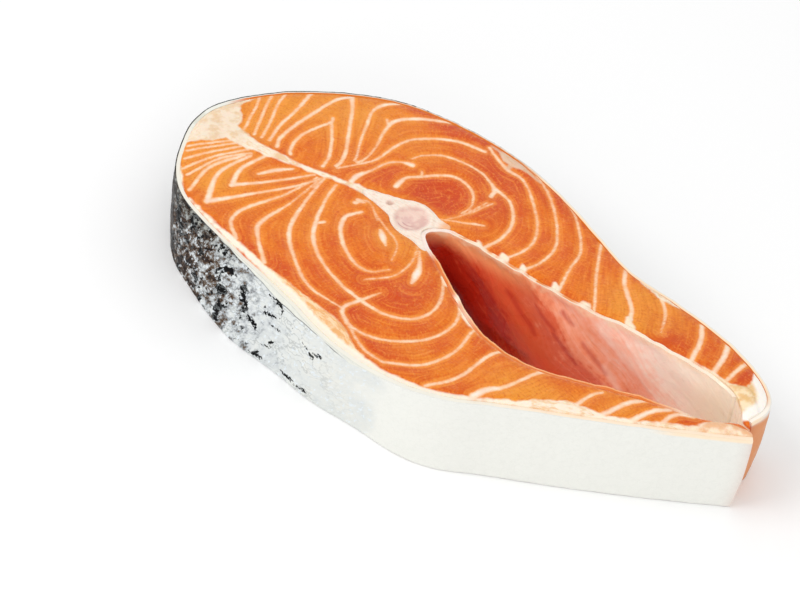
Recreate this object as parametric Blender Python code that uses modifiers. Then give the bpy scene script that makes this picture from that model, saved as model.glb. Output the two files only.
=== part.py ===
"""A raw salmon steak, one slice straight across the fish, lying flat on its lower cut face.

The plan is drawn with X along the median line of the fish, from its back (-X) to its belly (+X),
and with Z up through the thickness of the cut. The flesh is a horseshoe round the open belly, whose
two flaps almost meet at the right. The skin wraps its outside, a thin lining covers the walls of the
belly, and the backbone stands in the bend. All sizes are in metres.
"""

import math

import bmesh
import bpy
from mathutils import Matrix, Vector, noise
from mathutils.geometry import interpolate_bezier, intersect_point_line

MM = 0.001

# Driving sizes
CUT_THICKNESS = 25.2 * MM
SKIN_THICKNESS = 1.3 * MM
LINING_THICKNESS = 0.9 * MM
GAP = 0.3 * MM
CLEAR_OF_BOARD = 0.5 * MM
SKIN_TOP_DROP = 0.5 * MM
RIM_DROP = 0.45 * MM
RIM_WIDTH = 2.5 * MM
PLAN_MIDDLE = Vector((20.2, -3.3, 0)) * MM

# How finely the solids are drawn
PATH_STEP = 3.0 * MM
BONE_STEP = 1.6 * MM
FACE_CELL = 3.6 * MM
WALL_LEVELS = 2

# Outer face of the skin, in mm, from the tip of the near flap round the back to the far flap
SKIN_KNOTS = (
    (106.2, -6.6), (90, -17), (70, -28.8), (52, -39), (43, -44.6), (33, -48.2), (21, -49.6),
    (8, -48), (-8, -43), (-26, -38.4), (-40, -34.6), (-50, -30.5), (-57, -24), (-62, -15.5),
    (-65.5, -6), (-65.5, 2.5), (-61.5, 11.5), (-54, 21.7), (-42, 32), (-28, 39.5), (-10, 42.6),
    (8, 41.6), (24, 37.4), (40, 30.5), (54, 24.4), (68, 22.6), (84, 19.7), (96, 14.8),
    (102.5, 9.8), (104.6, 4.5), (103.2, -1.5),
)

# Wall of the flesh round the belly, in mm, from outside the near tip round to outside the far tip
BELLY_KNOTS = (
    (110, -6.4), (104.8, -4.6), (101, -3.9), (96, -7), (90, -9.8), (75, -14.3), (57, -21.3),
    (50, -22.7), (43, -22.6), (34, -20.4), (24.3, -14.7), (14.3, -7.8), (8.2, -4.2), (4.8, 0.3),
    (8.2, 4.6), (14, 5.9), (30, 5.4), (50, 5.2), (62, 6.3), (78, 6.5), (88, 6.2), (95, 4.2),
    (99, 0.8), (101.2, -2.3), (105, -3.4), (110, -4.8),
)
LINING_END_X = 96 * MM

# Outline of the backbone, in mm: neural arch to the left, body in the middle, two rib stubs
BONE_KNOTS = (
    (-15.5, 2.5), (-10.5, 5.2), (-6, 6.7), (-3.4, 8), (0, 8.7), (3.2, 7.9), (6, 6.9), (9.4, 6.4),
    (9.9, 4.4), (9.9, -3.6), (9.4, -5.8), (5, -4.9), (0, -4.3), (-3.2, -2.8), (-5.5, -0.7), (-10.5, 0.7),
)
BONE_CENTRE = Vector((0, 2.2, 0)) * MM
BONE_CUP_RADIUS = 4.2 * MM
BONE_CUP_DEPTH = 0.5 * MM
CANAL_CENTRE = Vector((-7.6, 3.4, 0)) * MM
CANAL_RADIUS = 0.9 * MM
BONE_DROP = 0.3 * MM

# Swells and hollows of the upper cut face: centre X, Y, reach and height, in mm
SWELLS = (
    (1, -14, 10, 0.8), (0, 15.5, 9, -0.9), (14, -25, 9, 0.4), (14, 17, 8, 0.4),
    (-38, -16, 12, 0.35), (-36, 13, 11, 0.35), (-58, 0, 8, -0.5), (60, -27, 12, 0.4), (60, 14, 12, 0.4),
)
RIPPLE_HEIGHT = 0.35 * MM
RIPPLE_LENGTH = 16 * MM

# The slice tapers with the fish. Lower down, its near side stands out or draws in along X (centre,
# reach and shift in mm), the far wall of the belly leans into the opening, and all walls swell a
# little at half height.
NEAR_SIDE = -45 * MM
NEAR_LEANS = ((-24, 18, -4.4), (20, 13, 2.8), (72, 26, -0.9))
BELLY_WALL_X, BELLY_WALL_Y = 45, 4
BELLY_REACH_X, BELLY_REACH_Y = 28, 10
BELLY_LEAN = -4.5
BULGE = 0.006


def smooth_path(knots, step, closed=False):
    """Points about every step along a smooth curve through the knots, which are in mm."""
    knots = [Vector(knot) * MM for knot in knots]
    count = len(knots)
    path = []
    for i in range(count if closed else count - 1):
        if closed:
            before, here = knots[i - 1], knots[i]
            there, after = knots[(i + 1) % count], knots[(i + 2) % count]
        else:
            before, here = knots[max(i - 1, 0)], knots[i]
            there, after = knots[i + 1], knots[min(i + 2, count - 1)]
        span = (there - here).length
        leave = (there - before).normalized() * span / 3
        arrive = (after - here).normalized() * span / 3
        pieces = max(1, round(span / step))
        path += interpolate_bezier(here, here + leave, there - arrive, there, pieces + 1)[:-1]
    if not closed:
        path.append(knots[-1])
    return [point.to_2d() for point in path]


def shifted(path, distance, closed=False):
    """The path moved sideways by a distance, to its right hand where that is positive."""
    moved = []
    last = len(path) - 1
    for i, point in enumerate(path):
        if closed:
            along = path[(i + 1) % len(path)] - path[i - 1]
        else:
            along = path[min(i + 1, last)] - path[max(i - 1, 0)]
        side = Vector((along.y, -along.x)).normalized()
        moved.append(point + side * distance)
    return moved


def collection(name):
    group = bpy.data.collections.new(name)
    bpy.context.scene.collection.children.link(group)
    return group


def material(name, color, roughness):
    finish = bpy.data.materials.new(name)
    finish.use_nodes = True
    shader = finish.node_tree.nodes["Principled BSDF"]
    shader.inputs["Base Color"].default_value = (*color, 1)
    shader.inputs["Roughness"].default_value = roughness
    finish.diffuse_color = (*color, 1)
    return finish


def curve_mesh(name, path, height, closed):
    """The mesh of a 2D curve drawn up to a height: a filled slab if closed, else a ribbon."""
    curve = bpy.data.curves.new(name, "CURVE")
    curve.dimensions = "2D" if closed else "3D"
    if closed:
        curve.fill_mode = "BOTH"
    curve.extrude = height / 2
    spline = curve.splines.new("POLY")
    spline.points.add(len(path) - 1)
    for point, place in zip(spline.points, path):
        point.co = (place.x, place.y, 0, 1)
    spline.use_cyclic_u = closed
    holder = bpy.data.objects.new(name + "_curve", curve)
    bpy.context.scene.collection.objects.link(holder)
    seen = holder.evaluated_get(bpy.context.evaluated_depsgraph_get())
    mesh = bpy.data.meshes.new_from_object(seen)
    bpy.data.objects.remove(holder)
    bpy.data.curves.remove(curve)
    return mesh


def make(name, mesh, group, finish=None, bottom=0.0):
    """An object of the mesh with its doubles merged and its lowest points at the bottom."""
    shape = bmesh.new()
    shape.from_mesh(mesh)
    bmesh.ops.remove_doubles(shape, verts=shape.verts, dist=0.01 * MM)
    bmesh.ops.recalc_face_normals(shape, faces=shape.faces)
    lift = bottom - min(vert.co.z for vert in shape.verts)
    bmesh.ops.translate(shape, verts=shape.verts, vec=(0, 0, lift))
    shape.to_mesh(mesh)
    shape.free()
    mesh.name = name
    mesh.materials.clear()
    if finish:
        mesh.materials.append(finish)
    thing = bpy.data.objects.new(name, mesh)
    group.objects.link(thing)
    return thing


def make_cutter(name, mesh, group, bottom):
    cutter = make(name, mesh, group, bottom=bottom)
    cutter.hide_render = True
    cutter.display_type = "WIRE"
    return cutter


def cut(thing, *cutters):
    """Takes the cutters out of a piece and keeps the result as its mesh."""
    for cutter in cutters:
        knife = thing.modifiers.new("cut by " + cutter.name, "BOOLEAN")
        knife.operation = "DIFFERENCE"
        knife.object = cutter
    seen = thing.evaluated_get(bpy.context.evaluated_depsgraph_get())
    mesh = bpy.data.meshes.new_from_object(seen)
    thing.modifiers.clear()
    mesh.name = thing.name
    thing.data = mesh


def bisect(shape, faces, point, normal):
    edges = {edge for face in faces for edge in face.edges}
    verts = {vert for face in faces for vert in face.verts}
    bmesh.ops.bisect_plane(
        shape, geom=[*faces, *edges, *verts], dist=1e-7, plane_co=point, plane_no=normal
    )


def split_walls(shape, top):
    """Level cuts round a piece, so that its walls can lean and swell."""
    for level in range(1, WALL_LEVELS + 1):
        height = top * level / (WALL_LEVELS + 1)
        bisect(shape, list(shape.faces), (0, 0, height), (0, 0, 1))


def split_face(shape, top, cell):
    """A grid of cuts across the upper face only, so that it can carry relief."""
    caps = [face for face in shape.faces if abs(face.normal.z) > 0.9]
    rims = [edge for face in caps for edge in face.edges if all(f in caps for f in edge.link_faces)]
    bmesh.ops.dissolve_edges(shape, edges=list(set(rims)), use_verts=False)
    for axis in (0, 1):
        low = min(vert.co[axis] for vert in shape.verts)
        high = max(vert.co[axis] for vert in shape.verts)
        count = round((high - low) / cell)
        normal = Vector((0, 0, 0))
        normal[axis] = 1
        for i in range(1, count):
            point = normal * (low + (high - low) * i / count)
            faces = [face for face in shape.faces if face.calc_center_median().z > top - 0.1 * MM]
            bisect(shape, faces, point, normal)


def bell(place, centre, reach):
    """A smooth hump of height 1: places and sizes are in mm."""
    return math.exp(-(((place - centre) / reach) ** 2))


def relief(x, y):
    """Height of the upper cut face above its mean level."""
    height = RIPPLE_HEIGHT * noise.noise(Vector((x, y, 0)) / RIPPLE_LENGTH)
    for centre_x, centre_y, reach, rise in SWELLS:
        height += rise * MM * bell(x / MM, centre_x, reach) * bell(y / MM, centre_y, reach)
    return height


def distance_to(edge, place):
    """How far a place is from an edge, which is given by its two ends."""
    nearest, share = intersect_point_line(place, *edge)
    share = min(max(share, 0), 1)
    return (edge[0].lerp(edge[1], share) - place).length


def raise_face(shape, top):
    """Moves the upper face to its relief, and lets it fall a little towards its rim."""
    uppers = {face for face in shape.faces if face.calc_center_median().z > top - 0.1 * MM}
    verts = {vert for face in uppers for vert in face.verts}
    edges = {edge for face in uppers for edge in face.edges}
    rims = [edge for edge in edges if not uppers.issuperset(edge.link_faces)]
    rims = [(edge.verts[0].co.copy(), edge.verts[1].co.copy()) for edge in rims]
    for vert in verts:
        near_rim = 1 - min(min(distance_to(edge, vert.co) for edge in rims) / RIM_WIDTH, 1)
        vert.co.z = top + relief(vert.co.x, vert.co.y) - RIM_DROP * near_rim * near_rim


def taper(shape):
    """Gives every piece alike the slant of its sides and the slight swell of its walls."""
    for vert in shape.verts:
        x, y = vert.co.x / MM, vert.co.y / MM
        depth = min(max(1 - vert.co.z / CUT_THICKNESS, 0), 1)
        near = min(max(vert.co.y / NEAR_SIDE, 0), 1)
        lean = near * sum(shift * bell(x, centre, reach) for centre, reach, shift in NEAR_LEANS)
        lean += BELLY_LEAN * bell(x, BELLY_WALL_X, BELLY_REACH_X) * bell(y, BELLY_WALL_Y, BELLY_REACH_Y)
        vert.co.y += lean * MM * depth
        swell = 1 + BULGE * math.sin(math.pi * depth)
        vert.co.x *= swell
        vert.co.y *= swell


def shape_piece(thing, *steps):
    """Runs shaping steps on the mesh of a piece."""
    shape = bmesh.new()
    shape.from_mesh(thing.data)
    for step in steps:
        step(shape)
    bmesh.ops.triangulate(shape, faces=shape.faces)
    shape.to_mesh(thing.data)
    shape.free()
    thing.data.shade_smooth()
    thing.data.set_sharp_from_angle(angle=math.radians(40))


def make_flesh(group, finish, skin_path, cutters):
    outline = shifted(skin_path, SKIN_THICKNESS + GAP)
    flesh = make("flesh", curve_mesh("flesh", outline, CUT_THICKNESS, closed=True), group, finish)
    cut(flesh, *cutters)
    shape_piece(
        flesh,
        lambda shape: split_face(shape, CUT_THICKNESS, FACE_CELL),
        lambda shape: split_walls(shape, CUT_THICKNESS),
        lambda shape: raise_face(shape, CUT_THICKNESS),
        taper,
    )
    return flesh


def make_band(name, group, finish, path, thickness, top_drop):
    """A thin band that stands along a path, its thickness to the path's right hand."""
    height = CUT_THICKNESS - CLEAR_OF_BOARD - top_drop
    band = make(name, curve_mesh(name, path, height, closed=False), group, finish, CLEAR_OF_BOARD)
    along = path[1] - path[0]
    first = min(band.data.polygons, key=lambda face: (face.center.to_2d() - path[0]).length)
    if first.normal.dot((along.y, -along.x, 0)) > 0:
        band.data.flip_normals()
    shape_piece(band, lambda shape: split_walls(shape, CUT_THICKNESS), taper)
    shell = band.modifiers.new("thickness", "SOLIDIFY")
    shell.thickness = thickness
    shell.offset = -1
    shell.use_even_offset = True
    return band


def make_backbone(group, finish, cutters):
    outline = smooth_path(BONE_KNOTS, BONE_STEP, closed=True)
    height = CUT_THICKNESS - BONE_DROP
    bone = make("backbone", curve_mesh("backbone", outline, height, closed=True), group, finish)
    cut(bone, *cutters)
    shape_piece(bone, lambda shape: split_walls(shape, CUT_THICKNESS), taper)
    return bone


def cup_cutter(group):
    """A flattened ball that hollows the upper end of the bone's body."""
    shape = bmesh.new()
    bmesh.ops.create_uvsphere(shape, u_segments=20, v_segments=12, radius=1)
    bmesh.ops.scale(shape, verts=shape.verts, vec=(BONE_CUP_RADIUS, BONE_CUP_RADIUS * 1.2, BONE_CUP_DEPTH))
    mesh = bpy.data.meshes.new("bone cup")
    shape.to_mesh(mesh)
    shape.free()
    mesh.transform(Matrix.Translation(BONE_CENTRE))
    return make_cutter("bone_cup", mesh, group, CUT_THICKNESS - BONE_DROP - BONE_CUP_DEPTH)


def canal_cutter(group):
    """A rod for the canal of the spinal cord, right through the arch."""
    shape = bmesh.new()
    bmesh.ops.create_cone(
        shape, cap_ends=True, segments=12, radius1=CANAL_RADIUS, radius2=CANAL_RADIUS,
        depth=2 * CUT_THICKNESS,
    )
    mesh = bpy.data.meshes.new("canal")
    shape.to_mesh(mesh)
    shape.free()
    mesh.transform(Matrix.Translation(CANAL_CENTRE))
    return make_cutter("spinal_canal", mesh, group, -CUT_THICKNESS / 2)


def main():
    for thing in list(bpy.data.objects):
        bpy.data.objects.remove(thing)
    steak = collection("raw_salmon_steak")
    cutters = collection("cutters")

    skin_path = smooth_path(SKIN_KNOTS, PATH_STEP)
    belly_path = smooth_path(BELLY_KNOTS, PATH_STEP)
    bone_path = smooth_path(BONE_KNOTS, BONE_STEP, closed=True)
    tall = 2 * CUT_THICKNESS
    below = -CUT_THICKNESS / 2
    belly = make_cutter("belly_space", curve_mesh("belly", belly_path, tall, True), cutters, below)
    seat = shifted(bone_path, -GAP, closed=True)
    bone_seat = make_cutter("bone_seat", curve_mesh("seat", seat, tall, True), cutters, below)

    flesh = make_flesh(
        steak, material("salmon flesh", (0.86, 0.21, 0.045), 0.35), skin_path, (belly, bone_seat)
    )
    skin = make_band(
        "skin", steak, material("salmon skin", (0.55, 0.56, 0.55), 0.4), skin_path,
        SKIN_THICKNESS, SKIN_TOP_DROP,
    )
    inner_path = shifted(belly_path, GAP)
    inner_path = [point for point in inner_path if point.x < LINING_END_X]
    lining = make_band(
        "belly_lining", steak, material("belly lining", (0.78, 0.35, 0.28), 0.35), inner_path,
        LINING_THICKNESS, RIM_DROP,
    )
    bone = make_backbone(
        steak, material("backbone", (0.88, 0.72, 0.66), 0.45),
        (belly, cup_cutter(cutters), canal_cutter(cutters)),
    )
    for piece in (flesh, skin, lining, bone):
        piece.data.transform(Matrix.Translation(-PLAN_MIDDLE))
    for cutter in list(cutters.objects):
        cutter.hide_set(True)


main()
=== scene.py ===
# %% [markdown]
# # A raw salmon steak
# The steak is one slice straight across the fish, and it lies flat on its lower cut face. Four solids
# are already there as a fixed frame: the flesh, the skin, the lining of the belly and the backbone.
# This lesson replaces each with a finer piece of the same form, and gives each its raw, wet finish.

import math

import bpy
import numpy as np
from mathutils import Matrix, Vector, noise
from mathutils.geometry import interpolate_bezier


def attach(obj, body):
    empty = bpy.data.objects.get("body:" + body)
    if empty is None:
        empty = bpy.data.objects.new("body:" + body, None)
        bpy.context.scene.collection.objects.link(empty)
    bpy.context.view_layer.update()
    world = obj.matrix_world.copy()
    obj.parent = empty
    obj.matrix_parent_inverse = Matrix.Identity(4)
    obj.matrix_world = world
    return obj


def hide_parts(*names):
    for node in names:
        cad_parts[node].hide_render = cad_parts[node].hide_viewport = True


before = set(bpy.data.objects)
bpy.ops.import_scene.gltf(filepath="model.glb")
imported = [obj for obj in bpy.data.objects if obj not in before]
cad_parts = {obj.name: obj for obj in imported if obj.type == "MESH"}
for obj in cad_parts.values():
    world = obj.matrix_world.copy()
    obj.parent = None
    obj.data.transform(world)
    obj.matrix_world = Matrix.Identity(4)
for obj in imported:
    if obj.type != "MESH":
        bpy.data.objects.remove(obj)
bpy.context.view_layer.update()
MM = 0.001
print("frame:", sorted(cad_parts))

# %% [markdown]
# ## The sizes that the pieces share with the solids
# The plan has X along the median line of the fish, from its back to its belly, and Y across it. The
# outlines are smooth curves through a few knots in millimetres. The same knots, leans and swells made
# the solids, so every finer piece lies where its solid does. Only the middle of the plan is moved, to
# bring the finished steak to the frame's origin.

# %% Sizes of the steak
CUT_THICKNESS = 25.2 * MM
SKIN_THICKNESS = 1.3 * MM
LINING_THICKNESS = 0.9 * MM
GAP = 0.3 * MM
SEAM = 0.04 * MM
CLEAR_OF_BOARD = 0.2 * MM
SKIN_TOP_DROP = 0.5 * MM
RIM_DROP = 0.45 * MM
RIM_WIDTH = 2.5 * MM
BONE_DROP = 0.3 * MM
PLAN_MIDDLE = Vector((20.2, -3.3, 0)) * MM
LINING_END_X = 96 * MM

SKIN_KNOTS = (
    (106.2, -6.6), (90, -17), (70, -28.8), (52, -39), (43, -44.6), (33, -48.2), (21, -49.6),
    (8, -48), (-8, -43), (-26, -38.4), (-40, -34.6), (-50, -30.5), (-57, -24), (-62, -15.5),
    (-65.5, -6), (-65.5, 2.5), (-61.5, 11.5), (-54, 21.7), (-42, 32), (-28, 39.5), (-10, 42.6),
    (8, 41.6), (24, 37.4), (40, 30.5), (54, 24.4), (68, 22.6), (84, 19.7), (96, 14.8),
    (102.5, 9.8), (104.6, 4.5), (103.2, -1.5),
)
BELLY_KNOTS = (
    (110, -6.4), (104.8, -4.6), (101, -3.9), (96, -7), (90, -9.8), (75, -14.3), (57, -21.3),
    (50, -22.7), (43, -22.6), (34, -20.4), (24.3, -14.7), (14.3, -7.8), (8.2, -4.2), (4.8, 0.3),
    (8.2, 4.6), (14, 5.9), (30, 5.4), (50, 5.2), (62, 6.3), (78, 6.5), (88, 6.2), (95, 4.2),
    (99, 0.8), (101.2, -2.3), (105, -3.4), (110, -4.8),
)
BONE_KNOTS = (
    (-15.5, 2.5), (-10.5, 5.2), (-6, 6.7), (-3.4, 8), (0, 8.7), (3.2, 7.9), (6, 6.9), (9.4, 6.4),
    (9.9, 4.4), (9.9, -3.6), (9.4, -5.8), (5, -4.9), (0, -4.3), (-3.2, -2.8), (-5.5, -0.7), (-10.5, 0.7),
)
SWELLS = (
    (1, -14, 10, 0.8), (0, 15.5, 9, -0.9), (14, -25, 9, 0.4), (14, 17, 8, 0.4),
    (-38, -16, 12, 0.35), (-36, 13, 11, 0.35), (-58, 0, 8, -0.5), (60, -27, 12, 0.4), (60, 14, 12, 0.4),
)
RIPPLE_HEIGHT, RIPPLE_LENGTH = 0.35, 16
NEAR_SIDE = -45
NEAR_LEANS = ((-24, 18, -4.4), (20, 13, 2.8), (72, 26, -0.9))
BELLY_WALL, BELLY_REACH, BELLY_LEAN = (45, 4), (28, 10), -4.5
BULGE = 0.006
print("cut thickness", CUT_THICKNESS, "m")

# %% [markdown]
# ## The camera
# The photograph looks down on the cut face from the belly side, with a long lens and the horizon
# tilted. A camera is placed, aimed at a point inside the steak, and then rolled about its own axis.
# That is easier to read than a rotation matrix, and to change.

# %% Camera
CAMERA_PLACE = Vector((0.1759, -0.3675, 0.4069))
CAMERA_AIM = Vector((-0.0097, -0.0123, 0.0125))
CAMERA_ROLL = math.radians(10)
LENS_MM, SENSOR_MM = 99, 36
bpy.ops.object.camera_add(location=CAMERA_PLACE)
camera = bpy.context.object
aimed = (CAMERA_AIM - CAMERA_PLACE).to_track_quat("-Z", "Y").to_matrix()
camera.rotation_euler = (aimed @ Matrix.Rotation(CAMERA_ROLL, 3, "Z")).to_euler()
camera.data.lens = LENS_MM
camera.data.sensor_width = SENSOR_MM
bpy.context.scene.camera = camera
print("camera axes", [tuple(round(v, 3) for v in col) for col in camera.rotation_euler.to_matrix().col])

# %% [markdown]
# ## The floor and the light
# Raw fish looks wet and bright in soft, even light. A white sky fills the shadows. A large lamp at the
# front left stands for a window and lights the cut face, a low one at the front right shows the side,
# and a small one behind gives the wet edges a sheen. The floor is plain and nearly white. Colours are
# shown as they are, without a film curve, so that the orange stays the orange that was mixed.

# %% Floor, lamps and sky
FLOOR_SIZE, FLOOR_TONE = 4, 0.97
SKY_STRENGTH = 0.82
scene = bpy.context.scene
scene.view_settings.view_transform = "Standard"
bpy.ops.mesh.primitive_plane_add(size=FLOOR_SIZE)
floor = bpy.context.object
floor.name = "floor"
floor.data.materials.append(bpy.data.materials.new("floor"))
floor.data.materials[0].use_nodes = True
paint = floor.data.materials[0].node_tree.nodes["Principled BSDF"].inputs
paint["Base Color"].default_value = (FLOOR_TONE, FLOOR_TONE, FLOOR_TONE, 1)
paint["Roughness"].default_value = 0.8
paint["Specular IOR Level"].default_value = 0.1


def soft_lamp(name, place, size, power):
    """A square lamp that faces the steak."""
    bpy.ops.object.light_add(type="AREA", location=place)
    lamp = bpy.context.object
    lamp.name = name
    lamp.data.size = size
    lamp.data.energy = power
    lamp.rotation_euler = (-Vector(place)).to_track_quat("-Z", "Y").to_euler()


soft_lamp("window lamp", (-0.5, -0.5, 0.8), 0.6, 3.2)
soft_lamp("low lamp", (0.5, -0.8, 0.35), 0.5, 1.5)
soft_lamp("back lamp", (-0.3, 0.6, 0.6), 0.15, 0.12)
bpy.context.scene.world = bpy.data.worlds.new("sky")
bpy.context.scene.world.use_nodes = True
sky = bpy.context.scene.world.node_tree.nodes["Background"].inputs
sky["Color"].default_value = (1, 1, 1, 1)
sky["Strength"].default_value = SKY_STRENGTH

# %% [markdown]
# ## Curves and cuts
# Every outline here is a smooth curve through knots. A path can be moved sideways, to make room for
# the skin or the lining. Drawn as a filled curve it is a slab that cuts another piece to shape, and
# drawn as an open curve it is a ribbon, ready to be given a thickness.

# %% Path helpers


def smooth_path(knots, step, closed=False):
    """Points about every step along a smooth curve through the knots, which are in mm."""
    knots = [Vector((*knot, 0)[:3]) * MM for knot in knots]
    count = len(knots)
    path = []
    for i in range(count if closed else count - 1):
        if closed:
            before, here = knots[i - 1], knots[i]
            there, after = knots[(i + 1) % count], knots[(i + 2) % count]
        else:
            before, here = knots[max(i - 1, 0)], knots[i]
            there, after = knots[i + 1], knots[min(i + 2, count - 1)]
        span = (there - here).length
        leave = (there - before).normalized() * span / 3
        arrive = (after - here).normalized() * span / 3
        pieces = max(1, round(span / step))
        path += interpolate_bezier(here, here + leave, there - arrive, there, pieces + 1)[:-1]
    if not closed:
        path.append(knots[-1])
    return path


def shifted(path, distance, closed=False):
    """The path moved sideways by a distance, to its right hand where that is positive."""
    moved = []
    last = len(path) - 1
    for i, point in enumerate(path):
        if closed:
            along = path[(i + 1) % len(path)] - path[i - 1]
        else:
            along = path[min(i + 1, last)] - path[max(i - 1, 0)]
        moved.append(point + Vector((along.y, -along.x, 0)).normalized() * distance)
    return moved


PATH_STEP = 0.6 * MM
skin_path = smooth_path(SKIN_KNOTS, PATH_STEP)
belly_path = smooth_path(BELLY_KNOTS, PATH_STEP)
bone_path = smooth_path(BONE_KNOTS, PATH_STEP, closed=True)
print("outline points:", len(skin_path), len(belly_path), len(bone_path))

# %% Mesh helpers
MARGIN_CELLS = 4


def select_only(thing):
    bpy.ops.object.select_all(action="DESELECT")
    thing.select_set(True)
    bpy.context.view_layer.objects.active = thing


def draw_wall(name, path, low, high, closed):
    """A mesh that stands along a path: a filled slab if closed, else a ribbon."""
    curve = bpy.data.curves.new(name, "CURVE")
    curve.dimensions = "2D" if closed else "3D"
    if closed:
        curve.fill_mode = "BOTH"
    curve.extrude = (high - low) / 2
    spline = curve.splines.new("POLY")
    spline.points.add(len(path) - 1)
    for point, place in zip(spline.points, path):
        point.co = (place.x, place.y, 0, 1)
    spline.use_cyclic_u = closed
    thing = bpy.data.objects.new(name, curve)
    bpy.context.collection.objects.link(thing)
    thing.location.z = (high + low) / 2
    select_only(thing)
    bpy.ops.object.convert(target="MESH")
    bpy.ops.object.transform_apply(location=True, rotation=True, scale=True)
    bpy.ops.object.mode_set(mode="EDIT")
    bpy.ops.mesh.select_all(action="SELECT")
    bpy.ops.mesh.remove_doubles(threshold=0.01 * MM)
    bpy.ops.mesh.normals_make_consistent(inside=False)
    bpy.ops.object.mode_set(mode="OBJECT")
    return thing


def cut_levels(thing, low, high, count):
    """Level cuts round a piece, so that its walls can lean, swell and carry relief."""
    select_only(thing)
    bpy.ops.object.mode_set(mode="EDIT")
    for i in range(1, count):
        bpy.ops.mesh.select_all(action="SELECT")
        height = low + (high - low) * i / count
        bpy.ops.mesh.bisect(plane_co=(0, 0, height), plane_no=(0, 0, 1))
    bpy.ops.object.mode_set(mode="OBJECT")


def apply_modifier(thing, kind, **settings):
    select_only(thing)
    modifier = thing.modifiers.new(kind.lower(), kind)
    for name, value in settings.items():
        setattr(modifier, name, value)
    bpy.ops.object.modifier_apply(modifier=modifier.name)


def trim(thing, operation, cutter):
    """Cuts a piece with another one, which is then removed."""
    apply_modifier(thing, "BOOLEAN", operation=operation, solver="MANIFOLD", object=cutter)
    bpy.data.objects.remove(cutter)


def places(thing):
    """The piece's vertices as rows of X, Y and Z, in mm on the plan."""
    rows = np.empty(len(thing.data.vertices) * 3, np.float32)
    thing.data.vertices.foreach_get("co", rows)
    return rows.reshape(-1, 3) / MM


def put_places(thing, rows):
    thing.data.vertices.foreach_set("co", (rows * MM).astype(np.float32).ravel())
    thing.data.update()


def keep_field(thing, name, values):
    """Keeps one number for each vertex, for the material to read."""
    field = thing.data.attributes.new(name, "FLOAT", "POINT")
    field.data.foreach_set("value", np.asarray(values, np.float32))


def fine_slab(name, cell, wall_levels, outline, cutters):
    """A slab with a fine grid on both faces, trimmed to an outline and cut by more outlines."""
    wide = [max(point[axis] for point in outline) - min(point[axis] for point in outline) for axis in (0, 1)]
    middle = [(max(point[axis] for point in outline) + min(point[axis] for point in outline)) / 2
              for axis in (0, 1)]
    margin = MARGIN_CELLS * cell
    bpy.ops.mesh.primitive_grid_add(
        x_subdivisions=round(wide[0] / cell) + 2 * MARGIN_CELLS,
        y_subdivisions=round(wide[1] / cell) + 2 * MARGIN_CELLS,
        size=1, location=(*middle, 0),
    )
    thing = bpy.context.object
    thing.name = name
    select_only(thing)
    thing.scale = (wide[0] + 2 * margin, wide[1] + 2 * margin, 1)
    bpy.ops.object.transform_apply(location=True, rotation=True, scale=True)
    bpy.ops.object.mode_set(mode="EDIT")
    bpy.ops.mesh.select_all(action="SELECT")
    bpy.ops.mesh.extrude_region_move(TRANSFORM_OT_translate={"value": (0, 0, CUT_THICKNESS)})
    bpy.ops.mesh.select_all(action="SELECT")
    bpy.ops.mesh.normals_make_consistent(inside=False)
    bpy.ops.object.mode_set(mode="OBJECT")
    for i, path in enumerate([outline, *cutters]):
        cutter = draw_wall("cutter", path, -5 * MM, CUT_THICKNESS + 5 * MM, closed=True)
        cut_levels(cutter, 0, CUT_THICKNESS, wall_levels)
        trim(thing, "DIFFERENCE" if i else "INTERSECT", cutter)
    return thing


# %% [markdown]
# ## Relief and slant
# The cut face isn't flat: the round bundles of muscle swell or sink a little, and the face falls
# towards its edges. The steak's sides lean, because the fish tapers. Both are worked out for all
# vertices at once.

# %% Relief and slant
ROWS_AT_ONCE = 4000


def bell(place, centre, reach):
    return np.exp(-(((place - centre) / reach) ** 2))


def smooth_step(values, low, high):
    share = np.clip((values - low) / (high - low), 0, 1)
    return share * share * (3 - 2 * share)


def rough(rows, length, seed=0.0):
    """Smooth noise from -1 to 1, with lumps of a length in mm."""
    return np.array([noise.noise(Vector((x / length, y / length, z / length + seed))) for x, y, z in rows])


def on_upper_face(rows):
    return rows[:, 2] > CUT_THICKNESS / MM - 0.01


def relief(rows):
    """Height of the upper cut face above its mean level, in mm."""
    x, y = rows[:, 0], rows[:, 1]
    flat = np.column_stack([x, y, np.zeros(len(x))])
    height = RIPPLE_HEIGHT * rough(flat, RIPPLE_LENGTH)
    for centre_x, centre_y, reach, rise in SWELLS:
        height += rise * bell(x, centre_x, reach) * bell(y, centre_y, reach)
    return height


def taper(rows):
    """Gives every piece alike the slant of its sides and the slight swell of its walls."""
    x, y = rows[:, 0].copy(), rows[:, 1].copy()
    depth = np.clip(1 - rows[:, 2] * MM / CUT_THICKNESS, 0, 1)
    near = np.clip(y / NEAR_SIDE, 0, 1)
    lean = near * sum(shift * bell(x, centre, reach) for centre, reach, shift in NEAR_LEANS)
    lean += BELLY_LEAN * bell(x, BELLY_WALL[0], BELLY_REACH[0]) * bell(y, BELLY_WALL[1], BELLY_REACH[1])
    swell = 1 + BULGE * np.sin(np.pi * depth)
    rows[:, 0] = x * swell
    rows[:, 1] = (y + lean * depth) * swell


def distance_to(rows, path):
    """Distance in mm on the plan from each row to a path."""
    stops = np.array([(point.x / MM, point.y / MM) for point in path], np.float32)
    return stroke_distance(rows, np.column_stack([stops, np.zeros(len(stops))]))[0]


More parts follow.
